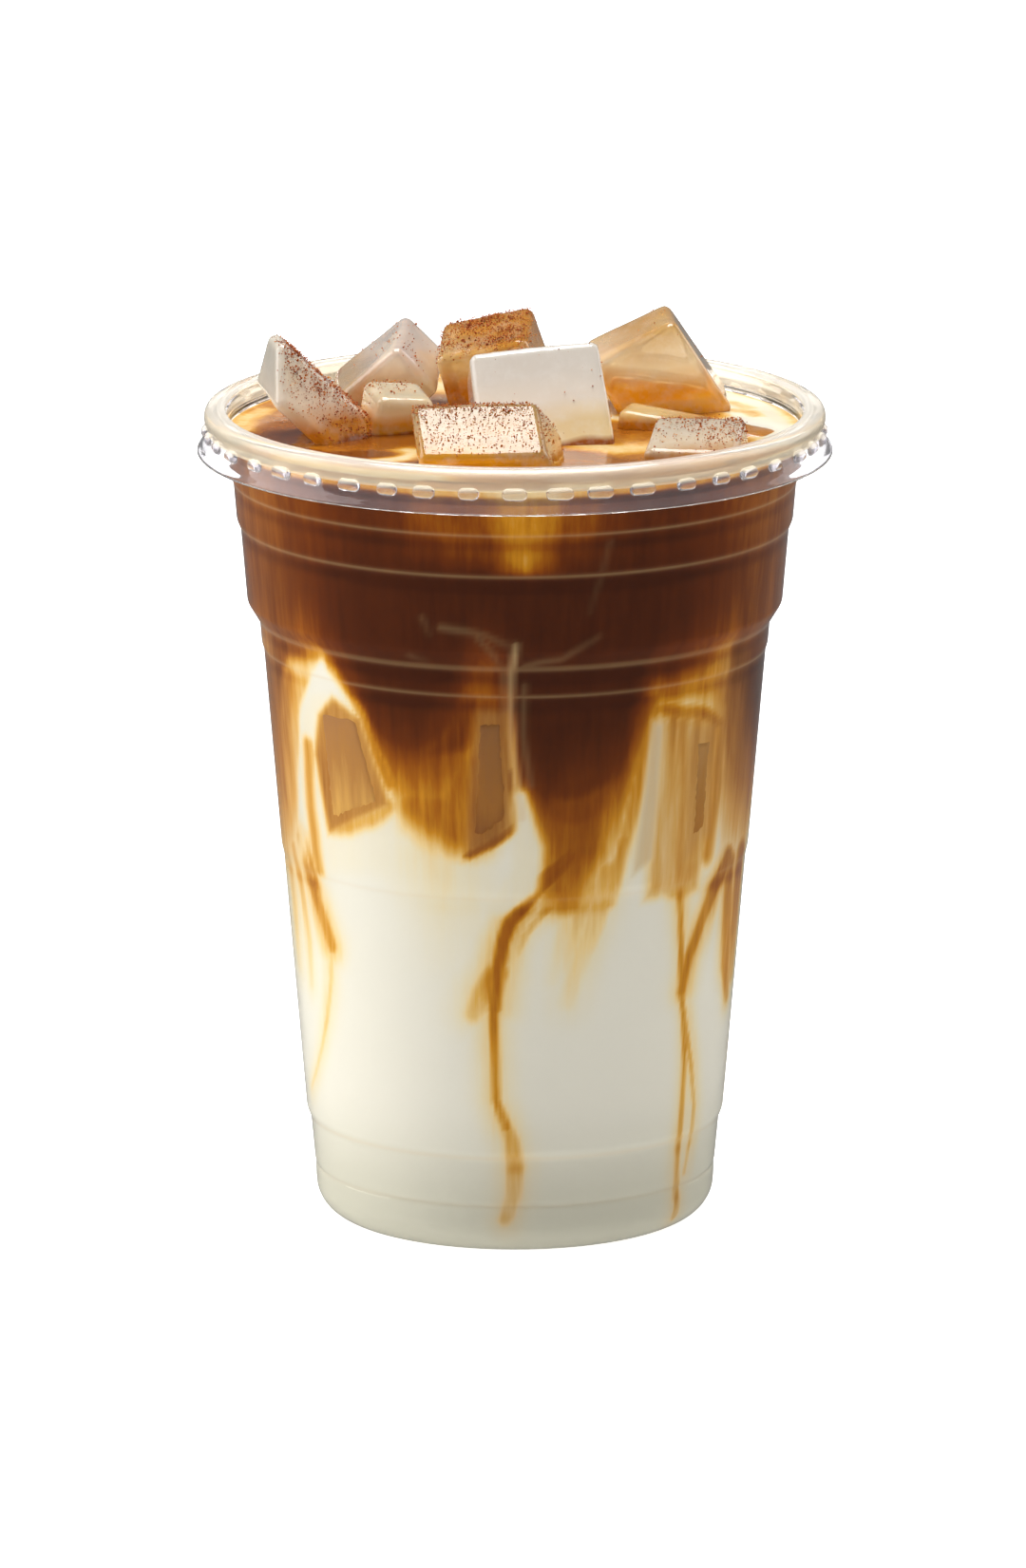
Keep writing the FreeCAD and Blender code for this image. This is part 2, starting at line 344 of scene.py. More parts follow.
# %% [markdown]
# ## The drink
# Coffee poured over milk doesn't stop at a line: it hangs in tongues, sinks in dark threads and drags amber
# edges into the milk.  A layered ramp alone would look like a bottle label.  So the drink is one closed
# body, and each of its vertices gets three values: how much coffee there is, with painted light and shade
# worked in; how hazy the mix is, with painted shade near the foot; and how close something pale lies to
# the wall, with the painted highlights of the ribs.  They are laid on with soft strokes given in degrees round
# the cup and millimetres of height, and the material turns them into colour.

# %% Drink outline
INTO_WALL = 0.2 * MM    # how far the liquid reaches into the wall, so that no air shows
CREEP = 0.35 * MM       # how far it climbs the wall at its edge
FINE, COARSE, TOP_PITCH = 0.62 * MM, 4.0 * MM, 1.3 * MM
side_wet = [(r + INTO_WALL, z) for r, z in eased(inside, EASE, 3) if z < 124 * MM]
side_wet = [(r, z - INTO_WALL) if z < 5 * MM else (r, z) for r, z in side_wet]
edge = throat - WALL + INTO_WALL
top_line = [(edge, 125.5 * MM), (edge, level + CREEP), (edge - 0.6 * MM, level + 0.55 * CREEP),
            (edge - 1.3 * MM, level + 0.2 * CREEP), (edge - 2.4 * MM, level), (0, level)]
low_part = spaced([p for p in side_wet if p[0] < 31 * MM], COARSE)
high_part = spaced([p for p in side_wet if p[0] >= 31 * MM] + top_line[:2], FINE)
drink_outline = low_part + high_part + spaced(top_line[1:], TOP_PITCH)[1:]
drink_shape = turned(drink_outline, 360)
print("drink outline has %d points" % len(drink_outline))

# %% [markdown]
# ## Soft strokes
# Coffee in milk is drawn the way a painter would: with soft strokes.  Each stroke is a path with a width
# that fades to both sides, and slow noise moves the places where it is looked up, so that no line runs
# true.  A panel is the same for a convex patch.  All work on the drink's own vertices, so they keep their
# place for good.

# %% Strokes
here = np.array([v.co[:] for v in drink_shape.verts])
radius = np.hypot(here[:, 0], here[:, 1])
degrees = np.degrees(np.arctan2(here[:, 0], -here[:, 1]))
height = here[:, 2] / MM
on_top = (height > level / MM - 0.05) & (radius < edge - 0.05 * MM)


def unrest(scale, flat=1.0, seed=0.0):
    """Smooth random values at the drink's vertices; flat below 1 draws them out upright."""
    return np.array([noise.noise(Vector((x + seed, y, z * flat)) * scale) for x, y, z in here])


ripple = unrest(70) + 0.5 * unrest(190)
slow = unrest(55, 0.35)
bend_across = 1.6 * unrest(60, 0.5, 0.3) + 0.5 * unrest(230, 0.4, 0.6)
bend_up = 2.4 * unrest(45, 1.0, 0.9) + 1.0 * unrest(160, 1.0, 1.2)


def smooth(value):
    """0 to 1 with soft ends; what lies outside is clipped."""
    value = np.clip(value, 0, 1)
    return value * value * (3 - 2 * value)


def stroke(across, up, path, soft, tail):
    """1 along a path of (place, height, half width) in millimetres, fading off to both sides.

    The strength falls to tail at the last point of the path.
    """
    lengths = [math.dist(a[:2], b[:2]) for a, b in zip(path, path[1:])]
    best = np.zeros(len(across))
    done = 0.0
    for (x0, y0, w0), (x1, y1, w1), length in zip(path, path[1:], lengths):
        dx, dy = x1 - x0, y1 - y0
        t = np.clip(((across - x0) * dx + (up - y0) * dy) / (dx * dx + dy * dy + 1e-9), 0, 1)
        gap = np.hypot(across - x0 - t * dx, up - y0 - t * dy) - (w0 + (w1 - w0) * t) * 0.7
        along = (done + t * length) / sum(lengths)
        best = np.maximum(best, np.exp(-(np.maximum(gap, 0) / (0.55 * soft)) ** 2) * (1 + (tail - 1) * along))
        done += length
    return best


def on_wall(angle, z):
    """Degrees round the cup as millimetres along the wall."""
    return angle * inside_radius(z * MM) / MM * math.pi / 180


def down_side(path, soft, unrested=1.0, tail=1.0):
    """A stroke on the wall; its path is given in degrees round the cup and millimetres."""
    flat = [(float(on_wall(angle, z)), z, w) for angle, z, w in path]
    across = on_wall(degrees, height) + unrested * bend_across
    return stroke(across, height + unrested * bend_up * 0.4, flat, soft, tail) * ~on_top


def panel(corners, soft, unrested=0.3):
    """1 inside a convex outline of (degrees, height) corners that run clockwise, 0 outside."""
    flat = [(float(on_wall(angle, z)), z) for angle, z in corners]
    across = on_wall(degrees, height) + unrested * bend_across
    up = height + unrested * bend_up
    far = np.full(len(here), -1e9)
    for (x0, y0), (x1, y1) in zip(flat, flat[1:] + flat[:1]):
        length = math.hypot(x1 - x0, y1 - y0)
        far = np.maximum(far, ((up - y0) * (x1 - x0) - (across - x0) * (y1 - y0)) / length)
    return smooth(0.5 - far / soft) * ~on_top


def over_top(path, soft, tail=0.9):
    """A stroke on the surface; its path is in millimetres from the middle."""
    return stroke(here[:, 0] / MM + bend_across, here[:, 1] / MM + 0.6 * bend_up, path, soft, tail) * on_top


# %% [markdown]
# ## Tongues of coffee
# Round the cup the coffee ends at a different height every few degrees, in tongues that hang into the milk.
# The list gives, for each angle, where the last coffee ends and where it is dark; between them it fades.
# Murk is added at the sides, where milk has mixed in; near the foot the same murky grey is painted shade, as
# the milk lies in shade there.

# %% How the coffee hangs in the milk
# (degrees round from the front, height where milk ends, height where dark coffee begins)
HANG = [
    (-180, 56, 66), (-160, 74, 84), (-140, 62, 74), (-122, 80, 90), (-105, 60, 70), (-90, 54, 74),
    (-80, 50, 82), (-72, 54, 84), (-66, 62, 88), (-60, 84, 95), (-55, 91, 98), (-50, 94, 98.5),
    (-46, 92.0, 97), (-42, 88.5, 94), (-39, 85.5, 92), (-36.5, 80, 88.5), (-34, 75, 86),
    (-31, 71, 84.5), (-28, 68, 84), (-24, 64.5, 84), (-20, 63, 86), (-16, 62.5, 90), (-13, 62.5, 96),
    (-10, 64.5, 99), (-7, 66, 100), (-3, 69.5, 98), (-1.5, 71, 96), (1.0, 72, 80), (2.5, 69, 80),
    (4.5, 63, 78), (7, 58, 77), (10, 58, 78), (15, 58, 79), (20, 57, 79), (23, 60, 80), (26, 63, 82),
    (28, 68, 85), (30, 75, 90), (31.5, 84, 94), (34, 87.5, 95), (44, 87, 96), (52, 84, 98), (57, 72, 100),
    (61, 59.0, 86), (66, 58.5, 82), (73, 55, 79), (80, 55, 78), (95, 66, 82), (112, 84, 92), (128, 62, 74),
    (146, 78, 88), (164, 54, 64), (180, 56, 66)]
around, milk_ends, coffee_begins = np.array(HANG).T
low_edge = np.interp(degrees + 1.2 * bend_across, around, milk_ends) + 0.8 * ripple
high_edge = np.interp(degrees + 1.2 * bend_across, around, coffee_begins) + 0.8 * ripple
coffee_and_painted_light = np.clip((height - low_edge) / (high_edge - low_edge), 0, 1) ** 0.9 * 0.72
coffee_and_painted_light += 0.24 * smooth((height - high_edge + 6) / 16)
murk_and_painted_shade = 0.40 * smooth((np.abs(degrees) - 42) / 26) * smooth((height - 40) / 20)
murk_and_painted_shade += 0.10 * smooth((100 - height) / 30)
# painted shade: the milk near the foot is made murky grey
murk_and_painted_shade += 0.75 * smooth((26 - height) / 22)
pale_milk_and_painted_highlight = np.zeros(len(here))


def darken(amount, path, soft, unrested=1.0, tail=1.0):
    """Raises the coffee to an amount along a stroke."""
    coffee_and_painted_light[:] = np.maximum(coffee_and_painted_light, amount * down_side(path, soft, unrested, tail))


def turn_to(value, mask):
    """Brings the coffee to a value where the mask is 1."""
    coffee_and_painted_light[:] = coffee_and_painted_light * (1 - mask) + value * mask


def lighten(amount, to, path, soft, unrested=1.0, tail=1.0):
    """Takes the coffee down toward a value along a stroke."""
    mask = amount * down_side(path, soft, unrested, tail)
    coffee_and_painted_light[:] = coffee_and_painted_light * (1 - mask) + np.minimum(coffee_and_painted_light, to) * mask


def cloud(amount, mask):
    """Makes the mix murky where the mask is 1."""
    murk_and_painted_shade[:] = np.maximum(murk_and_painted_shade, amount * mask)


# %% [markdown]
# ## Threads
# Where coffee is heavier than the milk it breaks through and runs down the wall in threads.  A thread is
# dark and sharp where it is fed, and grows wide and pale as it sinks, so each path carries a half width at
# every point and is laid twice: a narrow dark core over a wide pale stain.

# %% Threads
# path of (degrees, height, half width); softness, strength of the core; softness, strength of the stain; tail
THREADS = [
    ([(13, 66, 1.2), (7, 62.4, 1.2), (2.4, 59.0, 1.0), (-1.2, 55.8, 0.8), (-3.0, 52.5, 0.7), (-4.4, 47.5, 0.6),
      (-5.0, 41, 0.3)], 1.7, 0.58, 5.4, 0.26, 0.82),
    ([(-4.4, 47, 0.3), (-5.2, 40, 0.2), (-5.0, 33, 0.15), (-4.8, 26, 0.2), (-2.2, 21.4, 0.2)],
     1.4, 0.48, 4.4, 0.17, 0.85),
    ([(-3.2, 23.2, 0.1), (-0.8, 19, 0.5), (0.2, 15, 0.7), (-0.6, 10, 0.6), (-3.0, 6, 0.3)],
     2.2, 0.30, 4.4, 0.13, 0.6),
    ([(-4.6, 47, 0.5), (-7.4, 43.6, 0.8), (-10, 40, 0.4)], 3.4, 0.44, 6.4, 0.18, 0.5),
    ([(13, 60, 0.3), (7, 57.0, 0.3), (2.6, 53.6, 0.2), (-0.6, 48.5, 0.1)], 1.4, 0.36, 4.0, 0.14, 0.4),
    ([(23, 63, 1.0), (21, 57, 0.6), (17, 50, 0.5), (13.5, 42, 0.4)], 3.0, 0.28, 6.0, 0.14, 0.3),
    ([(18, 61, 1.0), (16, 55, 0.6), (13, 48, 0.3)], 3.0, 0.28, 6.0, 0.12, 0.3),
    ([(14, 60, 0.4), (12, 53, 0.3), (10, 46, 0.3)], 2.6, 0.20, 5.0, 0.10, 0.3),
    ([(27.5, 68, 0.6), (25, 61, 0.4), (21.5, 54, 0.3), (18, 49, 0.2)], 1.8, 0.36, 4.4, 0.14, 0.3),
    ([(45, 62, 0.3), (46, 55, 0.3), (47.2, 47, 0.3), (48.0, 41, 0.4), (51, 34, 0.3), (55, 27.5, 0.2),
      (58, 21, 0.15), (59, 15, 0.15), (57.6, 10, 0.1)], 1.1, 0.40, 4.0, 0.17, 0.6),
    ([(66, 61, 1.6), (60, 57, 1.2), (55, 52, 0.7), (50.5, 46.5, 0.5), (48.4, 41, 0.4)],
     2.2, 0.48, 5.0, 0.28, 0.8),
    ([(49.5, 37, 0.2), (51.4, 29, 0.2), (52.2, 20, 0.3), (53.6, 11, 0.4), (55, 3, 0.5)],
     1.1, 0.38, 3.6, 0.15, 0.7),
    ([(68, 60, 1.0), (69.5, 50, 1.4), (71, 43, 1.4), (75, 37, 0.4)], 3.0, 0.46, 5.0, 0.30, 0.7),
    ([(76, 60, 2.0), (77, 48, 1.6), (78, 40, 0.6)], 3.4, 0.50, 5.0, 0.34, 0.6),
    ([(-66, 64, 0.4), (-62, 57, 0.6), (-58, 53.0, 0.8), (-54, 48, 0.8)], 2.2, 0.36, 5.0, 0.23, 1.0),
    ([(-62, 64, 0.3), (-59.5, 58, 0.3), (-57, 51, 0.3)], 1.4, 0.36, 3.6, 0.20, 0.8),
    ([(-54, 49, 0.2), (-55.5, 42, 0.2), (-59, 35.5, 0.2), (-64, 30, 0.2), (-70, 25, 0.2), (-75, 22, 0.2)],
     1.3, 0.22, 4.0, 0.12, 0.6),
    ([(-71, 62, 0.4), (-68, 55, 0.4), (-66, 47, 0.3), (-67, 40, 0.2)], 2.6, 0.28, 5.0, 0.17, 0.4),
    ([(-77, 62, 0.8), (-76, 52, 0.6), (-77, 42, 0.4)], 3.6, 0.26, 6.0, 0.18, 0.4),
]
for path, soft, core, stain_soft, stain, tail in THREADS:
    darken(stain, path, stain_soft, 1.0, tail)
    darken(core, path, soft, 0.4, tail)
# round the back, where each hanging tongue of coffee runs out: (degrees, height)
for angle, tip in ((-172, 64), (-139, 73), (-104, 69), (-93, 64), (90, 66), (127, 73), (161, 63)):
    sway = 4 * math.sin(angle)
    path = [(angle, tip + 3, 2.4), (angle + sway * 0.4, tip - 6, 1.2), (angle + sway, 48, 0.6),
            (angle + sway * 0.3, 38, 0.4), (angle - sway * 0.6, 27, 0.3), (angle - sway * 0.2, 15 + sway, 0.15)]
    darken(0.22, path, 5.0, 1.0, 0.4)
    darken(0.52, path, 1.8, 0.7, 0.35)

# %% [markdown]
# ## Amber borders and dark tongues
# Thin coffee over milk is amber, thick coffee almost black.  These broad strokes fill the bodies of the
# tongues and leave their borders thin.

# %% Amber borders and dark tongues
darken(0.70, [(-35, 90, 0.5), (-28, 86, 2.0), (-22, 85, 3.0), (-17, 86, 2.5), (-14, 91, 2.0)], 7.0)
darken(0.10, [(-20, 66, 1.0), (-16, 60, 1.0), (-14, 52, 0.5)], 11.0, 1.0, 0.3)
darken(0.44, [(33, 88, 0.4), (31.0, 80, 0.5), (29, 72, 0.6), (26.4, 64, 0.5), (24, 58, 0.3)], 2.4, 0.6, 0.6)
darken(0.46, [(-24, 74, 1.0), (-19, 73, 2.0), (-14, 72, 3.0), (-12, 80, 2.0)], 7.0)
darken(0.80, [(4, 94, 1.0), (8, 86, 3.0), (13, 80, 4.0), (20, 82, 4.0), (26, 90, 2.5)], 9.0)
darken(0.78, [(12, 86, 5.0), (14, 76, 5.0), (14, 68, 3.0), (12, 61.5, 1.5)], 8.0, 1.0, 0.58)
darken(0.34, [(6, 61.4, 0.3), (10, 60.4, 0.3), (17, 60.8, 0.3)], 3.4, 0.6, 0.5)

# %% [markdown]
# ## Patches
# Columns of milk rise between the tongues, and blocks of sunk ice press the coffee aside.  Both have fairly
# straight borders, so they are laid on as panels; the ice itself is set in them later.

# %% Blocks and columns seen in the drink
# (corners clockwise, softness of the border, share of coffee, murk)
PANELS = [
    ([(-53, 60), (-60, 84), (-50, 94), (-38, 88), (-29, 71), (-33, 62)], 4.0, 0.03, 0.0),
    ([(-51.5, 67), (-55, 79), (-52.5, 86), (-47, 89.5), (-38.5, 87), (-31.5, 73.5)], 2.2, 0.42, 0.75),
    ([(-12, 66.5), (-10.5, 80), (-9, 90), (-2.4, 90), (-1.4, 82), (0.4, 71.6), (-5, 69)], 2.6, 0.50, 0.8),
    ([(35, 58), (35.5, 87), (57, 86), (57, 74), (52, 58)], 4.0, 0.30, 0.55),
    ([(44, 60), (42, 86), (56, 85), (56, 66)], 6.0, 0.40, 0.80),
    ([(30.4, 62), (33.4, 87), (37, 86), (36, 64)], 2.0, 0.13, 1.0),
]
for corners, soft, value, murk in PANELS:
    mask = panel(corners, soft)
    turn_to(value, mask)
    cloud(murk, mask)

# %% [markdown]
# ## Streaks and wisps
# Fine upright streaks of both liquids slide past each other beside the columns, and a few faint wisps of
# milk hang in the dark coffee.  Each is one more soft stroke, lighter or darker than what it crosses.

# %% Streaks of milk and coffee between them
lighten(0.9, 0.10, [(-49, 60, 2.0), (-40, 62, 3.0), (-30, 60, 3.0)], 5.0)
darken(0.28, [(-50, 68.6, 0.3), (-44, 69.4, 0.6), (-37, 71, 0.5), (-32, 73.4, 0.3)], 3.0)
darken(0.40, [(-46.5, 95, 0.3), (-41, 91.6, 0.3), (-37.6, 88, 0.3), (-34.4, 82, 0.3), (-31, 77, 0.3)],
       2.4, 0.3)
lighten(0.75, 0.24, [(-60, 92, 0.6), (-62.5, 82, 1.0), (-61, 72, 1.2), (-58, 64, 1.6)], 4.4)
lighten(0.80, 0.12, [(-66, 62, 0.5), (-62, 67, 0.8), (-58, 64, 1.0)], 3.0)
lighten(0.55, 0.26, [(-66, 91, 0.3), (-71, 82, 0.3), (-70.4, 70, 0.3), (-67, 63, 0.3)], 1.8)
lighten(0.45, 0.28, [(-63, 93, 0.3), (-67, 84, 0.3), (-66, 74, 0.3)], 1.8)
darken(0.32, [(-57, 60, 0.2), (-58.6, 70, 0.2), (-58, 80, 0.2)], 2.6)
darken(0.58, [(-11.5, 66.4, 0.1), (-5, 68.9, 0.3), (0.2, 71.4, 0.4)], 1.6, 0.1)
darken(0.60, [(-1.2, 80, 0.1), (-0.6, 76, 0.1), (0.2, 72.0, 0.3)], 1.4, 0.1)
darken(0.44, [(36, 88.6, 0.2), (42, 87.6, 0.3), (50, 86.0, 0.4), (56, 84, 0.4)], 3.0)
darken(0.40, [(57, 84, 0.4), (56.5, 74, 0.4), (54, 63, 0.4)], 3.4)
for angle, tip in ((38.6, 61), (41.0, 60), (44.4, 58), (49.5, 63)):
    lighten(0.60, 0.20, [(angle, 84, 0.2), (angle + 0.6, 74, 0.3), (angle - 0.5, tip, 0.4)], 1.9, 1.6, 0.7)
for angle, top in ((39.8, 87), (43.0, 86), (47.6, 86), (52.6, 85)):
    darken(0.40, [(angle, top, 0.2), (angle + 0.7, 76, 0.3), (angle, 66, 0.1)], 2.2, 1.6, 0.6)
cloud(0.80, down_side([(63, 92, 2.0), (66, 78, 5.0), (68, 66, 5.0)], 10))
lighten(0.65, 0.52, [(62, 86, 2.0), (66, 76, 4.0), (68, 66, 5.0)], 9.0)
cloud(0.70, down_side([(-78, 94, 4.0), (-74, 80, 7.0), (-74, 66, 7.0)], 10))
lighten(0.65, 0.44, [(-80, 92, 3.0), (-76, 80, 6.0), (-76, 66, 6.0)], 9.0)
lighten(0.97, 0.04, [(1.2, 76, 0.2), (2.0, 72.5, 0.7), (3.2, 67.5, 1.6), (1.4, 62, 2.6), (-4, 60, 3.5)],
        2.2, 0.2)
lighten(0.75, 0.14, [(32.0, 64, 1.0), (30, 57, 2.0), (27, 50, 2.0)], 3.0)
pale_milk_and_painted_highlight = np.maximum(pale_milk_and_painted_highlight, 0.40 * down_side([(-0.2, 101, 0.05), (-1.2, 96, 0.1), (-1.4, 90, 0.1), (-0.9, 84, 0.15),
                                          (0.2, 78, 0.2), (1.4, 73, 0.6)], 0.95, 0.35))
for path in ([(-3, 97, 0.2), (-2.6, 91, 0.3), (-1.6, 85, 0.2)],
             [(1.8, 94, 0.1), (1.6, 86, 0.15), (3.4, 78, 0.1)]):
    pale_milk_and_painted_highlight = np.maximum(pale_milk_and_painted_highlight, 0.10 * down_side(path, 1.0, 0.5))
# faint wisps in the dark coffee: path, strength
WISPS = [
    ([(-17, 103.6, 0.1), (-12, 103.2, 0.2), (-8, 102.6, 0.25), (-4, 101.4, 0.3), (-0.6, 100.6, 0.2)], 0.13),
    ([(-10, 102.4, 0.1), (-6, 99.5, 0.3), (-4, 96.5, 0.2)], 0.10),
    ([(-24, 99.2, 0.1), (-21, 98.2, 0.2)], 0.06),
    ([(1.2, 97.4, 0.1), (5, 98.2, 0.15), (10, 98.8, 0.15), (14, 100.6, 0.15), (18, 102.6, 0.1)], 0.11),
    ([(19.5, 118, 0.1), (18.4, 112.5, 0.15), (16, 106.5, 0.1)], 0.05),
    ([(-21, 105, 0.1), (-19.5, 102.6, 0.1)], 0.07),
]
for path, strength in WISPS:
    pale_milk_and_painted_highlight = np.maximum(pale_milk_and_painted_highlight, strength * down_side(path, 0.9, 1.0, 0.4))
print("coffee on the side: mean %.2f" % coffee_and_painted_light[~on_top].mean())

# %% [markdown]
# ## Light from above
# Light falls in through the open top and glows through the upper coffee, most of all under the front ice.
# Real scattering would be slow and noisy to render, so the coffee is made thinner there instead.

# %% Light that comes through at the top
glow = down_side([(2, 117, 2.5), (2.2, 121, 4.5), (2.5, 126, 5.0)], 8) * smooth((height - 111.5) / 2)
side_glow = down_side([(-14, 122, 3.5), (-2, 120, 5.0), (10, 122, 3.0)], 9)
glow = np.maximum(glow, 0.55 * side_glow * smooth((height - 111) / 4))
# painted light: the coffee is made thinner where light would come through from above
coffee_and_painted_light = coffee_and_painted_light * (1 - 0.58 * glow)
coffee_and_painted_light -= 0.24 * smooth((np.abs(degrees) - 30) / 34) * smooth((height - 88) / 8)
coffee_and_painted_light -= 0.10 * smooth((height - 110) / 10) * (1 - glow)

# %% [markdown]
# ## Ribs
# Each rib of the wall shows as a thin pale line over a soft dark one, because the liquid behind it steps
# back. The steps are too small to catch the lamps by themselves, so both are painted into the drink: the
# pale line is a painted highlight, the dark one painted shade, a little more coffee just under the rib.

# %% Ribs of the cup
# (height, half width, strength of the painted highlight)
RIB_LINES = [(119.0, 0.25, 0.22), (112.3, 0.27, 0.22), (97.0, 0.40, 0.20), (92.4, 0.27, 0.19),
             (59.0, 0.30, 0.10), (16.2, 0.35, 0.16), (8.0, 0.30, 0.12)]
for z, width, light in RIB_LINES:
    # painted highlight along each rib, and painted shade just below it
    painted_rib_highlight = np.exp(-((height - z) / width) ** 2) * ~on_top
    shade = np.exp(-((height - z + 1.7) / 0.9) ** 2) * ~on_top
    pale_milk_and_painted_highlight = np.maximum(pale_milk_and_painted_highlight, light * painted_rib_highlight)
    coffee_and_painted_light += 0.10 * shade * smooth(coffee_and_painted_light * 3)
brim = smooth((height - level / MM + 1.6) / 1.2) * ~on_top
coffee_and_painted_light = coffee_and_painted_light * (1 - 0.6 * brim)

# %% [markdown]
# ## Swirls on the surface
# The open surface is coffee with islands of cream, drawn out where the pour ended.  They are strokes like
# those on the wall, given in millimetres from the middle.

# %% Swirls on the surface
# the last number of each row: how much cream, or how much coffee, the swirl brings
brew_top = np.where(on_top, 0.52 + 0.30 * slow, 0)
CREAMS = [
    ([(-34, -22, 1.5), (-28, -27, 3.0), (-21, -31, 3.2), (-13, -36, 1.5)], 5.0, 1.0),
    ([(-24, -24, 1.0), (-19, -20, 2.0), (-17, -15, 1.0)], 4.0, 0.85),
    ([(30, 30, 2.0), (36, 20, 4.0), (40, 8, 3.6), (40, -2, 2.0)], 6.0, 1.0),
    ([(27, 9, 1.0), (35, 7, 2.4), (42, 2, 2.0)], 4.0, 0.9),
    ([(12, 12, 1.4), (20, 9, 1.6), (27, 9, 1.0)], 3.6, 0.8),
    ([(12, -12, 1.0), (16, -14, 1.6), (21, -13, 1.4)], 4.0, 0.62),
    ([(-40, 16, 1.0), (-43, 8, 1.2), (-43.5, -2, 1.0)], 3.0, 0.6),
    ([(-14, 34, 2), (2, 37, 2.4), (16, 36, 2)], 6.0, 0.7),
    ([(34, -14, 0.8), (39, -12, 1.4), (42, -6, 1.0)], 4.0, 0.75),
    ([(-10, -13, 0.8), (-6, -15, 1.4), (0, -15, 0.8)], 3.0, 0.6),
]
for path, soft, amount in CREAMS:
    brew_top = brew_top * (1 - amount * over_top(path, soft))
COFFEES = [
    ([(34, 17, 0.3), (37.5, 15, 0.6), (38.5, 11.5, 0.3)], 2.0, 0.30),
    ([(30, 25, 0.3), (34, 22, 0.5), (37, 18, 0.2)], 2.0, 0.26),
    ([(16, 14, 1.0), (24, 12, 1.0)], 4.0, 0.38),
    ([(-19, -31, 0.4), (-18, -26, 0.5), (-16, -22, 0.3)], 2.4, 0.30),
    ([(-43, -4, 2.0), (-38, -14, 3.0), (-30, -19, 3.0), (-22, -17, 2.0)], 4.5, 0.85),
    ([(8, -17, 2.0), (13, -20, 2.0), (17, -25, 2.5), (14, -36, 3)], 5.0, 0.66),
]
for path, soft, amount in COFFEES:
    brew_top = np.maximum(brew_top, amount * over_top(path, soft))
coffee_and_painted_light = np.where(on_top, np.clip(brew_top, 0, 1), np.clip(coffee_and_painted_light, 0, 1))
murk_and_painted_shade = np.where(on_top, 0.22, murk_and_painted_shade)

# %% [markdown]
# ## Relief of the surface
# Cream stands a touch higher than coffee, so the surface is lifted a little where it is pale.  Then the
# three values are stored on the vertices, where the material reads them.

# %% Store the values and lift the foam
for i, vert in enumerate(drink_shape.verts):
    if on_top[i]:
        vert.co.z += (0.22 * (1 - coffee_and_painted_light[i]) + 0.10 * ripple[i]) * MM * smooth((edge - radius[i]) / (4 * MM))

drink = finished("iced_latte", drink_shape, None)
for name, values in (("coffee_and_painted_light", coffee_and_painted_light), ("murk_and_painted_shade", murk_and_painted_shade), ("pale_milk_and_painted_highlight", pale_milk_and_painted_highlight)):
    attribute = drink.data.attributes.new(name, "FLOAT", "POINT")
    attribute.data.foreach_set("value", values.astype(np.float32))
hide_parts("coffee", "milk")


# %% [markdown]
# ## Streaks
# Both the drink and the melting ice show fine upright streaks where heavy and light liquid slide past each
# other.  One node group makes them: noise on object coordinates, stretched along the upright axis.

# %% Streak group
def streak_group():
    """Noise drawn out upright: Scale sets how fine, Stretch how long."""
    group = bpy.data.node_groups.new("Upright streaks", "ShaderNodeTree")
    group.interface.new_socket("Scale", in_out="INPUT", socket_type="NodeSocketFloat")
    group.interface.new_socket("Stretch", in_out="INPUT", socket_type="NodeSocketFloat")
    group.interface.new_socket("Streaks", in_out="OUTPUT", socket_type="NodeSocketFloat")
    start = add_node(group, "NodeGroupInput")
    end = add_node(group, "NodeGroupOutput")
    place = add_node(group, "ShaderNodeTexCoord")
    parts = add_node(group, "ShaderNodeSeparateXYZ", inputs={0: place.outputs["Object"]})
    flat = math_node(group, "DIVIDE", parts.outputs["Z"], start.outputs["Stretch"])
    joined = add_node(group, "ShaderNodeCombineXYZ", inputs={
        0: parts.outputs["X"], 1: parts.outputs["Y"], 2: flat})
    texture = add_node(group, "ShaderNodeTexNoise", inputs={
        "Vector": joined.outputs[0], "Scale": start.outputs["Scale"], "Detail": 3.0, "Roughness": 0.6})
    group.links.new(texture.outputs[0], end.inputs["Streaks"])
    return group


STREAKS = streak_group()


# %% [markdown]
# ## Colours of the drink
# Clean coffee thins to amber and gold; coffee with fine drops of milk turns tan and grey.  Two ramps hold
# the two families of colour, and the stored values choose between them.  Upright streaks shift the share of
# coffee only where the two liquids meet, so that plain milk and plain coffee stay calm.

# %% Drink material
# share of coffee and colour: clean blends, then blends clouded by fine drops of milk; the murky blend's milk
# end is grey, which also paints the shade at the foot
PURE = [(0.0, "e9e5d8"), (0.07, "ebe1c4"), (0.16, "eed498"), (0.27, "e0b056"), (0.38, "cc8b1a"),
        (0.50, "aa640b"), (0.62, "8c4706"), (0.76, "6d3106"), (0.88, "572506"), (1.0, "431a03")]
MURKY = [(0.0, "cbc8b6"), (0.15, "d6bd92"), (0.3, "c89b5c"), (0.5, "a5723a"), (0.75, "794a20"),
         (1.0, "4f2a0f")]

# painted highlight: the rib lines take this colour, as does pale milk close behind the wall
MILK_AND_HIGHLIGHT = "dcbc86"    # milk or light close behind the wall


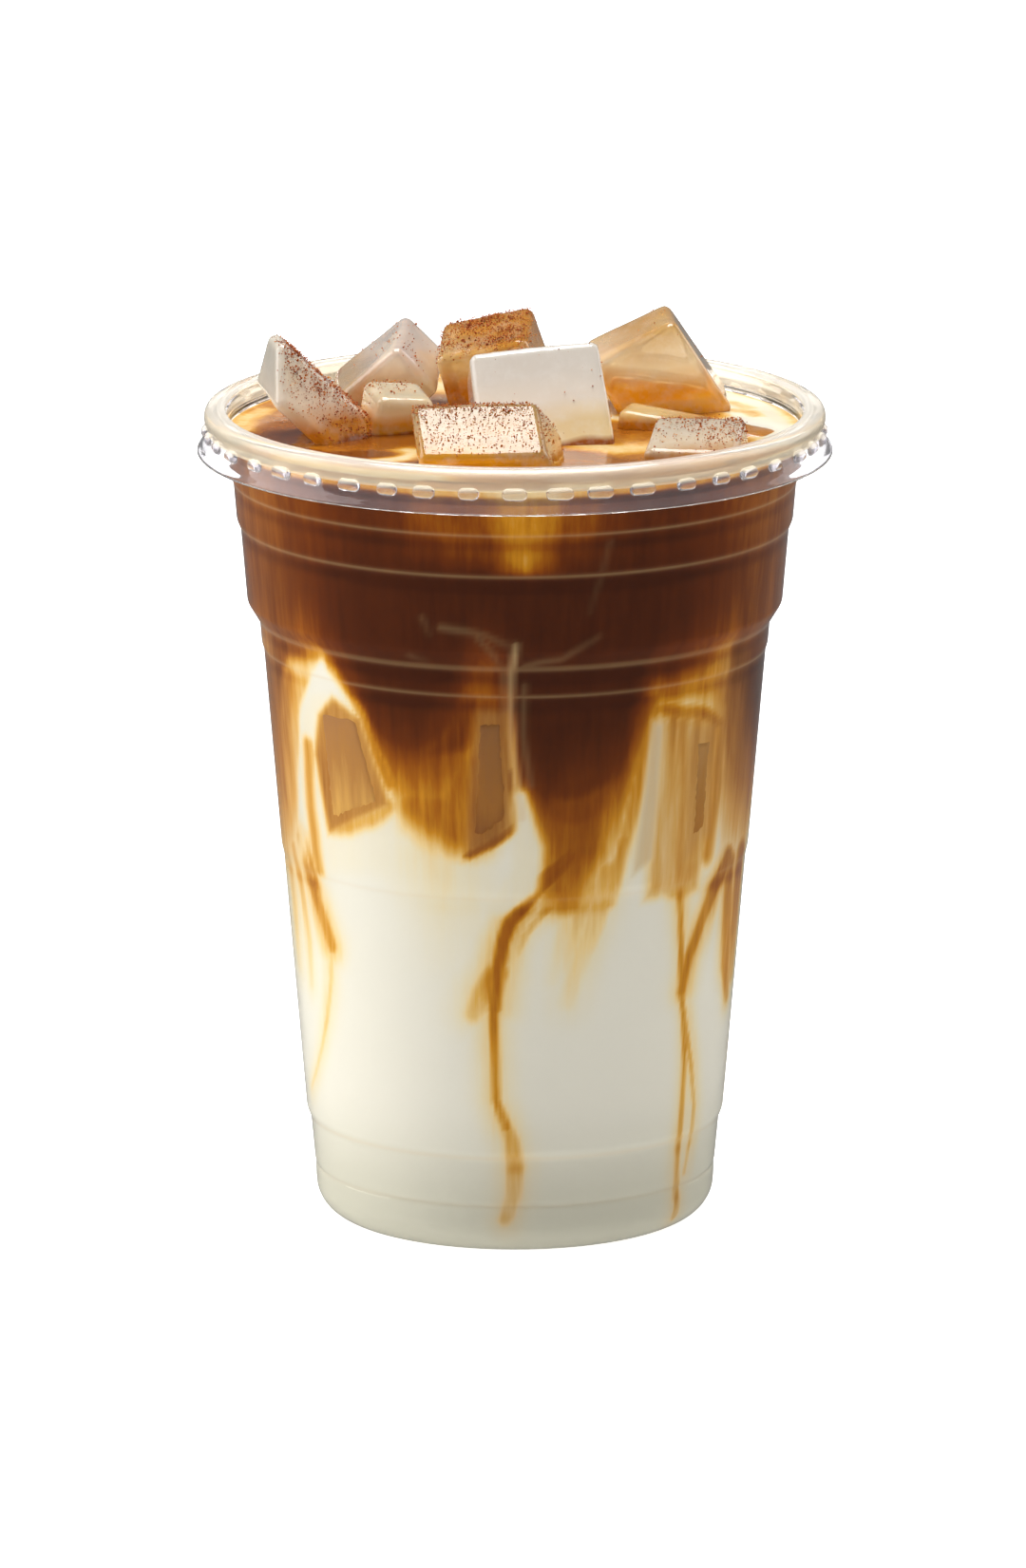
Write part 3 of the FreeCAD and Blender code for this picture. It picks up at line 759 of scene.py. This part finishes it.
def drink_material(name, shine, roughness):
    """Colour from the stored values; shine and roughness for the wall or the open surface."""
    material, tree, shader, output = new_material(name)
    coffee_and_painted_light_value = add_node(tree, "ShaderNodeAttribute", attribute_name="coffee_and_painted_light").outputs["Fac"]
    murk_and_painted_shade_value = add_node(tree, "ShaderNodeAttribute", attribute_name="murk_and_painted_shade").outputs["Fac"]
    pale_milk_and_painted_highlight_value = add_node(tree, "ShaderNodeAttribute", attribute_name="pale_milk_and_painted_highlight").outputs["Fac"]
    wide = add_node(tree, "ShaderNodeGroup", node_tree=STREAKS, inputs={"Scale": 330.0, "Stretch": 12.0})
    fine = add_node(tree, "ShaderNodeGroup", node_tree=STREAKS, inputs={"Scale": 1100.0, "Stretch": 26.0})
    both = math_node(tree, "ADD", wide.outputs[0], math_node(tree, "MULTIPLY", fine.outputs[0], 0.6))
    shift = math_node(tree, "SUBTRACT", both, 0.8)
    between = math_node(tree, "MULTIPLY", coffee_and_painted_light_value, math_node(tree, "SUBTRACT", 1.05, coffee_and_painted_light_value))
    shift = math_node(tree, "MULTIPLY", shift, math_node(tree, "MULTIPLY", between, 1.15))
    strength = math_node(tree, "ADD", coffee_and_painted_light_value, shift, clamp=True)
    pure = ramp(tree, strength, PURE)
    murky = ramp(tree, strength, MURKY)
    # murk, and the painted shade near the foot
    colour = mixed(tree, murk_and_painted_shade_value, pure, murky)
    # pale milk behind the wall, and the painted highlights along the ribs
    colour = mixed(tree, pale_milk_and_painted_highlight_value, colour, linear(MILK_AND_HIGHLIGHT))
    tree.links.new(colour, shader.inputs["Base Color"])
    shader.inputs["Roughness"].default_value = roughness
    shader.inputs["IOR"].default_value = 1.34
    shader.inputs["Specular IOR Level"].default_value = shine
    return material


# against the wall the liquid has no shine of its own; its open surface is glossy
drink.data.materials.append(drink_material("Coffee over milk", 0.08, 0.5))
drink.data.materials.append(drink_material("Open surface of the drink", 0.5, 0.12))
for face in drink.data.polygons:
    if face.center.z > level - 0.1 * MM and math.hypot(face.center.x, face.center.y) < edge - 0.2 * MM:
        face.material_index = 1

# %% [markdown]
# ## Ice under the surface
# Some cubes have sunk and lean on the wall.  Only the face that touches the wall can be seen, framed by the
# liquid that closes round its melted edges.  Each is a grid laid on the inside of the wall between four
# corners; near its border it dives under the drink, and it is thickened inward into a slab.

# %% Sunk ice
PRESSED = 0.32 * MM      # how far the face stands in front of the drink
DIVE = 1.6 * MM          # how far its border goes back under the drink
DIVE_WIDTH = 2.2         # width of that border in millimetres along the wall
SLAB = 5 * MM


def sunk_material(name, low_z, low, middle, high, high_z):
    """Ice seen through the drink: three colours up its height, with upright streaks."""
    material, tree, shader, output = new_material(name)
    place = add_node(tree, "ShaderNodeTexCoord")
    parts = add_node(tree, "ShaderNodeSeparateXYZ", inputs={0: place.outputs["Object"]})
    streaks = add_node(tree, "ShaderNodeGroup", node_tree=STREAKS, inputs={"Scale": 380.0, "Stretch": 9.0})
    rise = add_node(tree, "ShaderNodeMapRange", inputs={
        "Value": parts.outputs["Z"], "From Min": low_z * MM, "From Max": high_z * MM})
    shift = math_node(tree, "MULTIPLY", math_node(tree, "SUBTRACT", streaks.outputs[0], 0.5), 0.9)
    rise = math_node(tree, "ADD", rise.outputs[0], shift, clamp=True)
    colour = ramp(tree, rise, [(0.0, low), (0.45, middle), (1.0, high)])
    tree.links.new(colour, shader.inputs["Base Color"])
    shader.inputs["Roughness"].default_value = 0.4
    shader.inputs["Specular IOR Level"].default_value = 0.15
    return material


def sunk_block(name, corners, colours):
    """A slab of ice behind the wall; corners: left low, left high, right high, right low."""
    bm = bmesh.new()
    bmesh.ops.create_grid(bm, x_segments=26, y_segments=26, size=1.0)
    left_low, left_high, right_high, right_low = [np.array(c) for c in corners]
    wide = on_wall(right_low[0] - left_low[0], left_low[1])
    tall = left_high[1] - left_low[1]
    for vert in bm.verts:
        u, v = (vert.co.x + 1) / 2, (vert.co.y + 1) / 2
        angle, z = (left_low * (1 - u) + right_low * u) * (1 - v) + (left_high * (1 - u) + right_high * u) * v
        border = min(u * wide, (1 - u) * wide, v * tall, (1 - v) * tall)
        border += 0.4 * noise.noise(Vector((u, v, z)) * 4)
        r = float(inside_radius(z * MM)) + PRESSED - DIVE * (1 - float(smooth(border / DIVE_WIDTH)))
        turn = math.radians(angle)
        vert.co = (r * math.sin(turn), -r * math.cos(turn), z * MM)
    middle = math.radians((left_low[0] + right_high[0]) / 2)
    inner = bmesh.ops.extrude_face_region(bm, geom=bm.faces[:])
    moved = [v for v in inner["geom"] if isinstance(v, bmesh.types.BMVert)]
    bmesh.ops.translate(bm, verts=moved, vec=(-math.sin(middle) * SLAB, math.cos(middle) * SLAB, 0))
    bmesh.ops.recalc_face_normals(bm, faces=bm.faces)
    material = sunk_material("Sunk ice of " + name, left_low[1], *colours, left_high[1])
    return finished(name, bm, material)


SUNK = {
    "sunk_ice_left": ([(-52, 67), (-53, 88.5), (-38.5, 87.5), (-31.5, 73)], ("d9a955", "b07c3c", "a37343")),
    "sunk_ice_middle": ([(-12.5, 66.5), (-9.5, 89), (-2.2, 90), (0.6, 71.8)], ("784212", "9c6420", "8a5c30")),
    "sunk_ice_right": ([(46, 64), (45, 84), (55.5, 83), (55, 67)], ("a2691f", "a9732a", "ad844c")),
    "sunk_ice_far_right": ([(104, 66), (106, 86), (122, 84), (120, 64)], ("d0a050", "aa773a", "9a6c3c")),
    "sunk_ice_behind": ([(158, 70), (155, 90), (170, 92), (174, 72)], ("a8742c", "94622c", "84542a")),
    "sunk_ice_far_left": ([(-136, 68), (-134, 88), (-118, 90), (-120, 70)], ("d0a050", "aa773a", "9a6c3c")),
}
for name, (corners, colours) in SUNK.items():
    sunk_block(name, corners, colours)

# %% [markdown]
# ## Ice
# Tray ice is cloudy in the middle and clear at the faces, its edges have melted round, and it soaks up the
# colour of the drink it stands in.  Each block is a merged copy of its CAD solid, remeshed so that the
# edges soften, then pushed about slightly by noise, which gives the wavering highlights of melting ice.

# %% Ice shapes
ICE_CELL = 0.45 * MM
ICE_NODES = ["ice_left", "ice_back_left", "ice_inner_left", "ice_back", "ice_centre", "ice_front",
             "ice_back_right", "ice_low_right", "ice_front_right"]


def melted_block(node, waviness):
    """A bmesh of a CAD ice block with softened edges and gently uneven faces."""
    bm = bmesh.new()
    bm.from_mesh(nodes[node].data)
    bmesh.ops.remove_doubles(bm, verts=bm.verts, dist=1e-6)
    mesh = bpy.data.meshes.new(node + "_rough")
    bm.to_mesh(mesh)
    bm.free()
    rough = bpy.data.objects.new(node + "_rough", mesh)
    bpy.context.collection.objects.link(rough)
    remesh = rough.modifiers.new("cells", "REMESH")
    remesh.mode = "VOXEL"
    remesh.voxel_size = ICE_CELL
    solid = bpy.data.meshes.new_from_object(rough.evaluated_get(bpy.context.evaluated_depsgraph_get()))
    bpy.data.objects.remove(rough)
    bm = bmesh.new()
    bm.from_mesh(solid)
    for _ in range(2):
        bmesh.ops.smooth_vert(bm, verts=bm.verts, factor=0.5,
                              use_axis_x=True, use_axis_y=True, use_axis_z=True)
    bm.normal_update()
    for vert in bm.verts:
        push = noise.noise(vert.co * 95) - 0.15 + 0.25 * noise.noise(vert.co * 260)
        vert.co += vert.normal * push * waviness
    return bm


# %% [markdown]
# ## Ice material
# What makes ice read as ice is that its colour changes inside a face: clear tan where the drink shows
# through, a milky belt where air froze in, amber where it stands in the coffee.  All blocks share one
# recipe, a ramp of three colours down to the waterline bent by slow noise; the colours differ from block to
# block.


# %% Ice material
def ice_material(name, top, belt, low, reach, clear):
    """Melting ice. top, belt, low: colours downward; reach: height of the block over the drink, in metres."""
    material, tree, shader, output = new_material(name)
    place = add_node(tree, "ShaderNodeTexCoord")
    parts = add_node(tree, "ShaderNodeSeparateXYZ", inputs={0: place.outputs["Object"]})
    slow_noise = add_node(tree, "ShaderNodeTexNoise", inputs={
        "Vector": place.outputs["Object"], "Scale": 55.0, "Detail": 1.0})
    wave = math_node(tree, "MULTIPLY", math_node(tree, "SUBTRACT", slow_noise.outputs[0], 0.5), reach * 0.7)
    above = math_node(tree, "SUBTRACT", math_node(tree, "ADD", parts.outputs["Z"], wave), level)
    rise = math_node(tree, "DIVIDE", above, reach, clamp=True)
    tint = ramp(tree, rise, [(0.0, "9c5212"), (0.07, low), (0.24, low), (0.50, belt), (0.85, top)])
    frost = add_node(tree, "ShaderNodeTexNoise", inputs={
        "Vector": place.outputs["Object"], "Scale": 420.0, "Detail": 3.0, "Roughness": 0.65})
    speckle = math_node(tree, "MULTIPLY", math_node(tree, "SUBTRACT", frost.outputs[0], 0.45), 0.7, clamp=True)
    tint = mixed(tree, speckle, tint, linear("fffdf8"))
    tree.links.new(tint, shader.inputs["Base Color"])
    rough = math_node(tree, "ADD", math_node(tree, "MULTIPLY", frost.outputs[0], 0.16), 0.0)
    tree.links.new(rough, shader.inputs["Roughness"])
    # painted glow: the ice's colours are given off as light
    tree.links.new(tint, shader.inputs["Emission Color"])
    shader.inputs["Emission Strength"].default_value = GLOW
    shader.inputs["Transmission Weight"].default_value = clear
    shader.inputs["IOR"].default_value = 1.31
    shader.inputs["Coat Weight"].default_value = 0.9
    shader.inputs["Coat Roughness"].default_value = 0.02
    return material


# painted glow: the ice gives off light in its own colours, in place of light it would gather inside
GLOW = 0.12
# colours at the top, in the belt and low down, height over the drink (mm), clear share, waviness (mm)
ICE_LOOKS = {
    "ice_left": ("e8e2d2", "fdf1d8", "dc8e22", 13.0, 0.30, 0.25),
    "ice_back_left": ("ddd3ca", "efe6da", "dcbf92", 14.0, 0.50, 0.25),
    "ice_inner_left": ("e8d6b0", "f6e2b6", "dc9a26", 8.0, 0.35, 0.2),
    "ice_back": ("c88c34", "f4d28c", "c67a12", 13.0, 0.45, 0.25),
    "ice_centre": ("e6dfd4", "f4eadb", "efd6a4", 11.0, 0.15, 0.2),
    "ice_front": ("b8965c", "c8964e", "f0a618", 9.5, 0.30, 0.2),
    "ice_back_right": ("cfa866", "f6e5c0", "eba424", 17.0, 0.50, 0.2),
    "ice_low_right": ("e4ae48", "f6dc98", "cc8414", 5.0, 0.50, 0.15),
    "ice_front_right": ("ccbfa8", "e6d4b6", "c88e48", 6.0, 0.35, 0.2),
}
blocks = {}
for node in ICE_NODES:
    top, belt, low, reach, clear, waviness = ICE_LOOKS[node]
    material = ice_material("Ice of " + node, top, belt, low, reach * MM, clear)
    piece = finished(node + "_melting", melted_block(node, waviness * MM), material)
    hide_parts(node)
    blocks[node] = piece

# %% [markdown]
# ## Cinnamon
# The spice is real grains, not a texture: each is a tiny four-sided crumb half sunk in the ice.  They
# settle where a shaken dust would: on faces that look up, thickest near the top edges, in loose drifts.


# %% Cinnamon grains
def drift(piece, count, toward, reach, patch):
    """Places on a block where dust has settled: points and normals.

    toward: the side that it fell on; reach: how far down from there it goes, in metres.
    patch: how strongly it gathers in drifts, 0 to 1.
    """
    mesh = piece.data
    faces = [f for f in mesh.polygons if f.center.z > level]
    centre = np.array([f.center[:] for f in faces])
    normal = np.array([f.normal[:] for f in faces])
    toward = np.array(toward) / np.linalg.norm(toward)
    depth = centre @ toward
    depth = depth.max() - depth
    weight = np.exp(-depth / reach) * np.clip(normal @ toward + 0.15, 0, 1)
    gather = np.array([noise.noise(Vector(c) * 330) for c in centre])
    weight *= (1 - patch) + patch * np.clip(gather * 2.2 + 0.35, 0, 2)
    weight *= np.array([f.area for f in faces])
    picked = chance.choice(len(faces), count, p=weight / weight.sum())
    return centre[picked] + chance.normal(0, ICE_CELL * 0.4, (count, 3)), normal[picked]


chance = np.random.default_rng(7)
# block: grains, side they fell on, reach (mm), how patchy
DUSTED = {
    "ice_left": (2600, (0.75, -0.35, 0.65), 2.2, 0.65),
    "ice_back_left": (160, (0.0, 0.0, 1.0), 3.0, 0.8),
    "ice_inner_left": (300, (-0.2, 0.5, 1.0), 1.2, 0.7),
    "ice_back": (3000, (-0.25, -0.1, 1.0), 1.8, 0.6),
    "ice_centre": (90, (0.0, 0.0, 1.0), 6.0, 0.7),
    "ice_front": (3800, (-0.1, 0.12, 1.0), 4.2, 0.5),
    "ice_back_right": (40, (0.3, 0.0, 1.0), 4.0, 0.3),
    "ice_front_right": (1500, (0.25, 0.1, 1.0), 2.4, 0.5),
}
BATCH = 60


def grain_batch(spots, normals):
    """A mesh of a few grains; small batches keep the building quick."""
    bm = bmesh.new()
    for spot, normal in zip(spots, normals):
        size = float(np.clip(chance.lognormal(-1.72, 0.38), 0.09, 0.46)) * MM
        if size > 0.3 * MM:
            crumb = bmesh.ops.create_icosphere(bm, subdivisions=1, radius=size * 0.5)["verts"]
        else:
            crumb = bmesh.ops.create_cone(bm, cap_ends=True, segments=4, radius1=size * 0.55,
                                          radius2=size * 0.2, depth=size * 0.8)["verts"]
        turn = Vector(chance.normal(0, 1, 3)).normalized().to_track_quat("Z", "Y").to_matrix()
        squeeze = Vector((1.0, chance.uniform(0.6, 1.0), chance.uniform(0.6, 1.0)))
        place = Vector(spot) + Vector(normal) * size * 0.18
        for vert in crumb:
            vert.co = turn @ (vert.co * squeeze) + place
    mesh = bpy.data.meshes.new("batch")
    bm.to_mesh(mesh)
    bm.free()
    return mesh


grains = bmesh.new()
for node, (count, toward, reach, patch) in DUSTED.items():
    spots, normals = drift(blocks[node], count, toward, reach * MM, patch)
    for start in range(0, count, BATCH):
        batch = grain_batch(spots[start:start + BATCH], normals[start:start + BATCH])
        grains.from_mesh(batch)
        bpy.data.meshes.remove(batch)
cinnamon = finished("cinnamon_grains", grains, None)
for face in cinnamon.data.polygons:
    face.use_smooth = False


# %% [markdown]
# ## Colour of the grains
# Ground cinnamon is dry bark: matt, and each grain a slightly different red brown.  Noise much coarser than
# a grain picks the shade, so a grain is nearly one colour.

# %% Cinnamon material
def cinnamon_material():
    """Matt red brown that differs from grain to grain."""
    material, tree, shader, output = new_material("Cinnamon")
    place = add_node(tree, "ShaderNodeTexCoord")
    spots = add_node(tree, "ShaderNodeTexNoise", inputs={
        "Vector": place.outputs["Object"], "Scale": 700.0, "Detail": 1.0})
    colour = ramp(tree, spots.outputs[0], [(0.3, "8e3c0c"), (0.5, "b85a1a"), (0.7, "dc9040")])
    tree.links.new(colour, shader.inputs["Base Color"])
    shader.inputs["Roughness"].default_value = 0.85
    return material


cinnamon.data.materials.append(cinnamon_material())

# %% [markdown]
# ## Studio
# A pale floor that runs past every edge of the view, a wide soft light overhead, a brighter soft light from
# the left and a weak one from the right behind.  The room itself is dim in front, so that the dark coffee
# stays dark behind the shiny wall.

# %% Floor
floor_shape = bmesh.new()
bmesh.ops.create_grid(floor_shape, x_segments=1, y_segments=1, size=6.0)
floor_mesh = bpy.data.meshes.new("floor")
floor_shape.to_mesh(floor_mesh)
floor_shape.free()
floor = bpy.data.objects.new("floor", floor_mesh)
bpy.context.collection.objects.link(floor)
floor_material, _, floor_shader, _ = new_material("Pale floor")
floor_shader.inputs["Base Color"].default_value = (0.92, 0.92, 0.92, 1)
floor_shader.inputs["Roughness"].default_value = 0.9
floor_shader.inputs["Emission Color"].default_value = (1, 1, 1, 1)
floor_shader.inputs["Emission Strength"].default_value = 0.75
floor_mesh.materials.append(floor_material)
floor.visible_glossy = False
floor.visible_diffuse = False


# %% [markdown]
# ## Lights
# Wide soft lamps give long smooth highlights on plastic and wet ice, where small ones would give hard dots.

# %% Lights
def soft_light(name, place, aim, size, watts):
    """A rectangular lamp of size (wide, high) in metres, aimed at a point."""
    lamp = bpy.data.lights.new(name, "AREA")
    lamp.shape = "RECTANGLE"
    lamp.size, lamp.size_y = size
    lamp.energy = watts
    holder = bpy.data.objects.new(name, lamp)
    holder.location = place
    holder.rotation_euler = (Vector(aim) - Vector(place)).to_track_quat("-Z", "Y").to_euler()
    bpy.context.collection.objects.link(holder)


soft_light("overhead", (0.0, 0.3, 2.2), (0, 0, 0.05), (1.5, 1.5), 54)
soft_light("left", (-1.3, 0.1, 0.7), (0, 0, 0.08), (1.0, 1.4), 11)
soft_light("right_back", (1.2, 0.9, 0.6), (0, 0, 0.08), (0.6, 1.2), 3)
world = bpy.data.worlds.new("studio")
bpy.context.scene.world = world
world.use_nodes = True
world.node_tree.nodes["Background"].inputs["Color"].default_value = (1, 1, 1, 1)
world.node_tree.nodes["Background"].inputs["Strength"].default_value = 0.2

# %% [markdown]
# ## Camera
# A long lens from far off, looking down a little, keeps the rings of the cup almost parallel.

# %% Camera
ELEVATION = math.radians(13.2)
DISTANCE = 2.5
AIM = Vector((-0.0003, 0.0, 0.0692))
VIEW_HEIGHT = 0.2486
lens = bpy.data.cameras.new("camera")
lens.sensor_width = 36.0
lens.lens = 36.0 * DISTANCE / VIEW_HEIGHT
camera = bpy.data.objects.new("camera", lens)
camera.location = AIM + Vector((0, -math.cos(ELEVATION), math.sin(ELEVATION))) * DISTANCE
camera.rotation_euler = (math.pi / 2 - ELEVATION, 0, 0)
bpy.context.collection.objects.link(camera)
bpy.context.scene.camera = camera
bpy.context.scene.view_settings.view_transform = "Standard"
